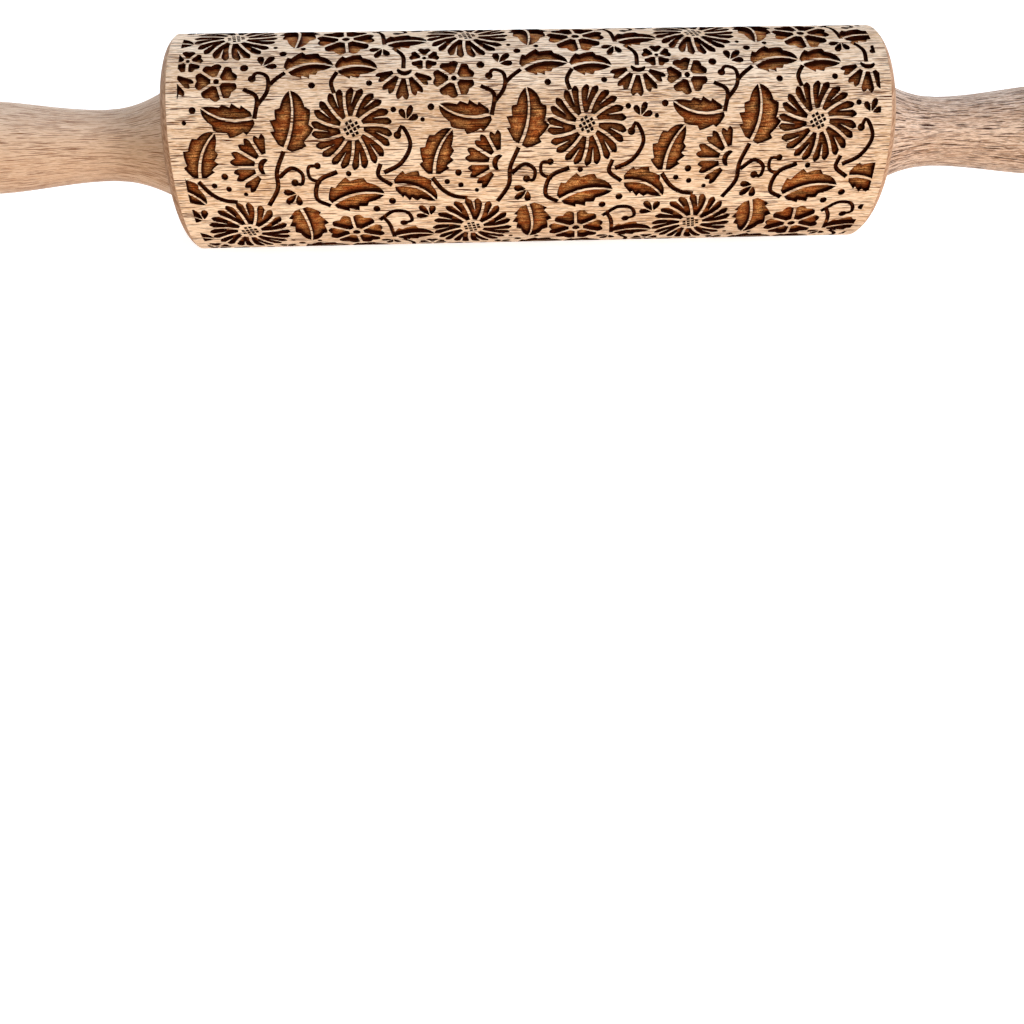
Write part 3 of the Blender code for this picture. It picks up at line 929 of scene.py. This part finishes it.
def dash_marks(wood, offset, along=1.0, across=1.0, rare=0.63, clump=0.9):
    """Beech's dark dashes along X, long ones and short ones, each from 0 to 1.

    A dash is the middle of a cell that is stretched along X. It shows where the cell's own number, plus
    `clump` times a slow noise, or two thirds of that for a short dash, passes a start that `rare` and
    `clump` set. A larger `rare` gives fewer dashes, and a larger `clump` crowds them together more.
    """
    crowd = wood.noise((30, 150, 150), 2, 0.5, (offset[0] + 6, offset[1] + 1, offset[2] + 2))
    distance, chance = wood.cells((120 * along, 2900 * across, 2900 * across), offset)
    start = rare + clump / 2
    shown = (chance + crowd * clump).between(start, start + 0.08)
    long_dashes = distance.between(0.48, 0.38) * shown
    distance, chance = wood.cells((300 * along, 3900 * across, 3900 * across), offset)
    start = rare + clump / 3 + 0.01
    shown = (chance + crowd * (clump / 1.5)).between(start, start + 0.1)
    short_dashes = distance.between(0.50, 0.38) * shown
    return long_dashes, short_dashes


def sanded_beech(name, light, deep, dash, offset, along=1.0, across=1.0, **dashes):
    """Pale sanded beech: two tones in bands, streaks and fibres, crossed by dark dashes."""
    wood = Finish(name, follows_grain=True, roughness=0.5, ior=1.45, specular_ior_level=0.2)
    bands = wood.noise((5, 90, 90), 2, 0.5, offset, 0.4)
    streaks, fibres = fibre_marks(wood, offset, along, across)
    long_dashes, short_dashes = dash_marks(wood, offset, along, across, **dashes)
    share = (bands * 0.2 + streaks * 0.4 + fibres * 0.4).between(0.40, 0.60)
    tone = wood.mix(share, light, deep)
    tone = wood.mix(short_dashes * 0.6, tone, dash)
    tone = wood.mix(long_dashes, tone, dash)
    height = fibres * 0.5 + streaks * 0.3 - long_dashes * 0.8 - short_dashes * 0.4
    roughness = 0.44 + streaks * 0.12 + long_dashes * 0.15
    return wood.finish(tone, roughness, height, 0.00008, 0.6)


def end_grain():
    """Beech cut across its fibres, on the shoulders and ends: browner, with fine rays and pores."""
    wood = Finish("beech_end_grain", roughness=0.6, ior=1.45, specular_ior_level=0.15)
    rays = wood.noise((900, 260, 1100), 3, 0.6)
    distance, chance = wood.cells((2200, 2200, 2200))
    pores = distance.between(0.42, 0.22) * chance.between(0.55, 0.75)
    tone = wood.mix(rays.between(0.35, 0.65), rgb(202, 162, 132), rgb(156, 115, 86))
    tone = wood.mix(pores * 0.55, tone, rgb(98, 56, 32))
    return wood.finish(tone, 0.54 + rays * 0.14, rays - pores, 0.00006, 0.5)


def burnt_wall():
    """The charred walls of the pockets, with fibres that catch a little light."""
    wood = Finish("burnt_wall", roughness=0.8, ior=1.4, specular_ior_level=0.05)
    fibres = wood.noise((120, 2600, 2600), 2, 0.6)
    tone = wood.mix(fibres.between(0.35, 0.75), rgb(24, 3, 0), rgb(70, 26, 8))
    return wood.finish(tone, 0.72 + fibres * 0.2, fibres, 0.0001, 0.5)


def engraved_floor():
    """The floors of the pockets: golden brown with grain along X, reddish and then dark near a wall, part
    laser char and part painted shade of the walls.
    """
    wood = Finish("engraved_floor", follows_grain=True, roughness=0.75, ior=1.4, specular_ior_level=0.05)
    from_wall = wood.node("ShaderNodeAttribute", {"attribute_name": "from_wall"}, {}, "Fac")
    streaks, fibres = fibre_marks(wood, (4, 2, 1))
    long_dashes, short_dashes = dash_marks(wood, (4, 2, 1))
    patches = wood.noise((190, 420, 420), 3, 0.65, (2, 7, 3))
    specks = wood.noise((2200, 2600, 2600), 2, 0.6, (9, 4, 5))
    wander = (patches - 0.5) * 0.004
    tone = wood.mix(patches.between(0.36, 0.64), rgb(255, 182, 108), rgb(182, 96, 44))
    tone = wood.mix(streaks.between(0.46, 0.62) * 0.7, tone, rgb(110, 42, 12))
    # Reddish, then near black towards a wall: part laser char, part painted shade where the walls shadow
    # the floor
    tone = wood.mix((from_wall + wander).between(0.0019, 0.0006) * 0.65, tone, rgb(84, 22, 4))
    tone = wood.mix((from_wall + wander * 0.4).between(0.0008, 0.0001) * 0.95, tone, rgb(32, 3, 0))
    tone = wood.mix(fibres.between(0.42, 0.60) * 0.5, tone, rgb(62, 16, 3))
    tone = wood.mix(specks.between(0.47, 0.60) * 0.65, tone, rgb(58, 13, 2))
    tone = wood.mix(short_dashes * 0.6, tone, rgb(40, 8, 0))
    tone = wood.mix(long_dashes * 0.85, tone, rgb(30, 6, 0))
    height = fibres * 0.6 + streaks * 0.6 - long_dashes
    return wood.finish(tone, 0.68 + streaks * 0.2, height, 0.00015, 0.7)


def drawn_steel():
    """Bright drawn steel with fine lines along the rod."""
    steel = Finish("drawn_steel", metallic=1.0, roughness=0.3)
    lines = steel.noise((20, 3000, 3000), 2, 0.5)
    tone = steel.mix(lines, rgb(176, 178, 182), rgb(202, 204, 206))
    return steel.finish(tone, 0.24 + lines * 0.14)


def natural_nylon():
    """Off-white moulded nylon, faintly clouded."""
    nylon = Finish("natural_nylon", roughness=0.45)
    cloud = nylon.noise((260, 260, 260), 3, 0.6)
    tone = nylon.mix(cloud, rgb(238, 236, 226), rgb(226, 222, 208))
    return nylon.finish(tone, 0.4 + cloud * 0.12, cloud, 0.00004, 0.4)


def dress(node, material):
    """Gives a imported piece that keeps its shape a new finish."""
    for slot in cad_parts[node].material_slots:
        slot.material = material


def make_floor():
    """A plain pale floor that the camera sees as white, with the pin's shadow kept.

    Its glow grows to plain white away from the pin, so that its far edge doesn't show.
    """
    mesh = bpy.data.meshes.new("studio_floor")
    corners = [(-FLOOR_REACH, -FLOOR_REACH, 0), (FLOOR_REACH, -FLOOR_REACH, 0)]
    corners += [(FLOOR_REACH, FLOOR_REACH, 0), (-FLOOR_REACH, FLOOR_REACH, 0)]
    mesh.from_pydata(corners, [], [(0, 1, 2, 3)])
    floor = placed("studio_floor", mesh)
    paint = Finish("white_floor", base_color=FLOOR_COLOUR, roughness=0.9, ior=1.1, emission_strength=1.0)
    away = paint.node("ShaderNodeVectorMath", {"operation": "LENGTH"}, {0: paint.place()}, "Value")
    share = FLOOR_GLOW + (1 - FLOOR_GLOW) * away.between(GLOW_START, GLOW_FULL)
    glow = paint.mix(paint.seen() * share, rgb(0, 0, 0), rgb(255, 255, 255))
    paint.tree.links.new(glow.socket, paint.shader.inputs["Emission Color"])
    mesh.materials.append(paint.material)


def make_world():
    """Even warm light, and plain white where the camera or a reflection sees it."""
    world = bpy.data.worlds.new("studio")
    bpy.context.scene.world = world
    studio = Nodes(world)
    light = studio.tree.nodes["Background"]
    light.inputs["Strength"].default_value = WORLD_LIGHT
    light.inputs["Color"].default_value = WORLD_COLOUR
    white = studio.node("ShaderNodeBackground", {}, {"Strength": 1.0, "Color": (1, 1, 1, 1)})
    inputs = {0: studio.seen(), 1: Value(studio, light.outputs[0]), 2: white}
    both = studio.node("ShaderNodeMixShader", {}, inputs)
    studio.tree.links.new(both.socket, studio.tree.nodes["World Output"].inputs["Surface"])


def make_light(name, place, width, power, colour):
    """A round lamp that faces the pin."""
    light = bpy.data.lights.new(name, "AREA")
    light.shape = "DISK"
    light.size = width
    light.energy = power
    light.color = colour
    lamp = placed(name, light)
    lamp.location = place
    lamp.rotation_euler = (Vector(LIT_POINT) - Vector(place)).to_track_quat("-Z", "Y").to_euler()


def make_camera():
    """The camera, at the photo's viewing angle."""
    camera = bpy.data.cameras.new("camera")
    camera.lens = CAMERA_LENS
    camera.sensor_width = CAMERA_SENSOR
    eye = placed("camera", camera)
    eye.location = CAMERA_PLACE
    eye.rotation_euler = [math.radians(angle) for angle in CAMERA_TURN]
    bpy.context.scene.camera = eye


barrel_wood = sanded_beech(
    "barrel_beech", rgb(244, 219, 194), rgb(194, 149, 108), rgb(72, 28, 2), (0, 0, 0)
)
handle_woods = {
    "left": sanded_beech(
        "left_handle_beech", rgb(216, 187, 163), rgb(182, 142, 112), rgb(118, 72, 44), (5, 3, 8),
        along=0.9, across=1.45
    ),
    # The right handle's light tone is made paler and pinker than beech's own: painted light standing in
    # for the key lamp on its flare
    "right": sanded_beech(
        "right_handle_beech", rgb(232, 206, 187), rgb(160, 123, 97), rgb(52, 19, 5), (2, 9, 4),
        along=1.1, across=0.85, rare=0.56, clump=0.3
    ),
}
barrel = make_barrel([barrel_wood, burnt_wall(), engraved_floor(), end_grain()])
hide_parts("barrel")
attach(barrel, "barrel")

for hand, side in (("left", -1), ("right", 1)):
    low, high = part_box(f"{hand}_handle")
    start = high.x if side < 0 else low.x
    handle = make_handle(f"{hand}_turned_handle", side, start, handle_woods[hand])
    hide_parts(f"{hand}_handle")
    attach(handle, "spindle")

nylon = natural_nylon()
dress("axle_rod", drawn_steel())
for hand in ("left", "right"):
    dress(f"{hand}_bush", nylon)
    dress(f"{hand}_thrust_washer", nylon)

make_floor()
make_world()
for light in LIGHTS:
    make_light(*light)
make_camera()
bpy.context.scene.view_settings.view_transform = "Standard"
